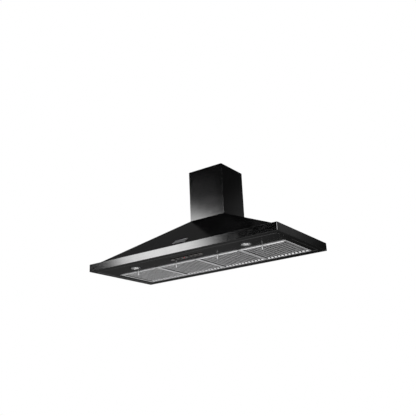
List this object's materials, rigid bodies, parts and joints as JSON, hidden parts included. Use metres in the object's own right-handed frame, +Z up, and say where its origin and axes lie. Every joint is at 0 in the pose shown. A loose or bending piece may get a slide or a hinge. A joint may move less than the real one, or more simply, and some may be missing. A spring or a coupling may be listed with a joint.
{
  "type": "wall chimney range hood",
  "caption": "Wide black pyramid canopy hood with a square chimney, baffle grease filters, downlights and a push-button strip.",
  "frame": {"origin": "on the wall plane, midway between the two keyholes of the rear panel, at the height of their seats", "axes": "+X to the right seen from the front, +Y into the wall, +Z up"},
  "size_m": [1.1, 0.485, 0.531],
  "materials": {
    "black_enamel": "gloss black enamel on sheet steel",
    "galvanised_steel": "bare galvanised steel, dull",
    "stainless_filter": "satin stainless steel",
    "bright_chrome": "polished",
    "polished_aluminium": "spun and polished reflector",
    "fascia_black": "gloss black strip",
    "lamp_ring_grey": "satin",
    "lamp_glass": "clear",
    "button_black": "gloss black",
    "indicator_red": "translucent red",
    "badge_metal": "fine brushed, plain",
    "blower_plastic": "moulded grey",
    "black_plastic": "moulded black",
    "capacitor_white": "moulded white"
  },
  "bodies": {
    "hood_body": {"badge_plate": "badge_metal", "blower_deck": "galvanised_steel", "blower_housing_left": "blower_plastic", "blower_housing_right": "blower_plastic", "blower_motor": "galvanised_steel", "bracket_screw_left": "galvanised_steel", "bracket_screw_right": "galvanised_steel", "cable_gland": "black_plastic", "canopy_shell": "black_enamel", "chimney_bracket": "galvanised_steel", "chimney_cover_lower": "black_enamel", "control_bezel": "bright_chrome", "control_fascia": "fascia_black", "damper_pin": "galvanised_steel", "electrical_box": "black_plastic", "electrical_box_lid": "black_plastic", "halogen_bulb_left": "lamp_glass", "halogen_bulb_right": "lamp_glass", "indicator_lens": "indicator_red", "lamp_glass_left": "lamp_glass", "lamp_glass_right": "lamp_glass", "lamp_housing_left": "polished_aluminium", "lamp_housing_right": "polished_aluminium", "lamp_ring_left": "lamp_ring_grey", "lamp_ring_right": "lamp_ring_grey", "lamp_transformer": "black_plastic", "light_panel": "black_enamel", "motor_bracket": "galvanised_steel", "motor_capacitor": "capacitor_white", "outlet_collar": "black_plastic", "rear_filter_rail": "black_enamel", "rear_panel": "galvanised_steel", "rim_band": "black_enamel", "side_rail_left": "black_enamel", "side_rail_right": "black_enamel", "switch_module": "black_plastic"},
    "filter_1": {"filter_frame_1": "stainless_filter", "filter_baffles_1": "stainless_filter"},
    "latch_1": {"filter_latch_1": "bright_chrome"},
    "filter_2": {"filter_frame_2": "stainless_filter", "filter_baffles_2": "stainless_filter"},
    "latch_2": {"filter_latch_2": "bright_chrome"},
    "filter_3": {"filter_frame_3": "stainless_filter", "filter_baffles_3": "stainless_filter"},
    "latch_3": {"filter_latch_3": "bright_chrome"},
    "filter_4": {"filter_frame_4": "stainless_filter", "filter_baffles_4": "stainless_filter"},
    "latch_4": {"filter_latch_4": "bright_chrome"},
    "button_1": {"push_button_1": "button_black"},
    "button_2": {"push_button_2": "button_black"},
    "button_3": {"push_button_3": "button_black"},
    "button_4": {"push_button_4": "button_black"},
    "button_5": {"push_button_5": "button_black"},
    "blower_rotor": {"blower_wheel": "galvanised_steel", "motor_shaft": "galvanised_steel"},
    "damper_front": {"damper_flap_front": "black_plastic"},
    "damper_rear": {"damper_flap_rear": "black_plastic"},
    "upper_chimney": {"chimney_cover_upper": "black_enamel"}
  },
  "joints": [
    {"name": "filter_1_swing", "type": "hinge", "parent": "hood_body", "child": "filter_1", "pos_m": [-0.37125, -0.05, -0.148], "axis": [1, 0, 0], "range_deg": [0, 60]},
    {"name": "latch_1_slide", "type": "slide", "parent": "filter_1", "child": "latch_1", "axis": [0, 1, 0], "range_m": [0, 0.003], "stiffness_N_per_m": 300, "springref_m": -0.003},
    {"name": "filter_2_swing", "type": "hinge", "parent": "hood_body", "child": "filter_2", "pos_m": [-0.12375, -0.05, -0.148], "axis": [1, 0, 0], "range_deg": [0, 60]},
    {"name": "latch_2_slide", "type": "slide", "parent": "filter_2", "child": "latch_2", "axis": [0, 1, 0], "range_m": [0, 0.003], "stiffness_N_per_m": 300, "springref_m": -0.003},
    {"name": "filter_3_swing", "type": "hinge", "parent": "hood_body", "child": "filter_3", "pos_m": [0.12375, -0.05, -0.148], "axis": [1, 0, 0], "range_deg": [0, 60]},
    {"name": "latch_3_slide", "type": "slide", "parent": "filter_3", "child": "latch_3", "axis": [0, 1, 0], "range_m": [0, 0.003], "stiffness_N_per_m": 300, "springref_m": -0.003},
    {"name": "filter_4_swing", "type": "hinge", "parent": "hood_body", "child": "filter_4", "pos_m": [0.37125, -0.05, -0.148], "axis": [1, 0, 0], "range_deg": [0, 60]},
    {"name": "latch_4_slide", "type": "slide", "parent": "filter_4", "child": "latch_4", "axis": [0, 1, 0], "range_m": [0, 0.003], "stiffness_N_per_m": 300, "springref_m": -0.003},
    {"name": "button_1_press", "type": "slide", "parent": "hood_body", "child": "button_1", "axis": [0, 0, 1], "range_m": [0, 0.0025], "stiffness_N_per_m": 300, "springref_m": -0.002},
    {"name": "button_2_press", "type": "slide", "parent": "hood_body", "child": "button_2", "axis": [0, 0, 1], "range_m": [0, 0.0025], "stiffness_N_per_m": 300, "springref_m": -0.002},
    {"name": "button_3_press", "type": "slide", "parent": "hood_body", "child": "button_3", "axis": [0, 0, 1], "range_m": [0, 0.0025], "stiffness_N_per_m": 300, "springref_m": -0.002},
    {"name": "button_4_press", "type": "slide", "parent": "hood_body", "child": "button_4", "axis": [0, 0, 1], "range_m": [0, 0.0025], "stiffness_N_per_m": 300, "springref_m": -0.002},
    {"name": "button_5_press", "type": "slide", "parent": "hood_body", "child": "button_5", "axis": [0, 0, 1], "range_m": [0, 0.0025], "stiffness_N_per_m": 300, "springref_m": -0.002},
    {"name": "blower_wheel_spin", "type": "hinge", "parent": "hood_body", "child": "blower_rotor", "pos_m": [0, -0.084, -0.03], "axis": [1, 0, 0], "continuous": true},
    {"name": "damper_front_swing", "type": "hinge", "parent": "hood_body", "child": "damper_front", "pos_m": [0, -0.107, 0.102], "axis": [-1, 0, 0], "range_deg": [0, 75]},
    {"name": "damper_rear_swing", "type": "hinge", "parent": "hood_body", "child": "damper_rear", "pos_m": [0, -0.107, 0.102], "axis": [1, 0, 0], "range_deg": [0, 75]},
    {"name": "upper_chimney_slide", "type": "slide", "parent": "hood_body", "child": "upper_chimney", "axis": [0, 0, 1], "range_m": [0, 0.21]}
  ]
}
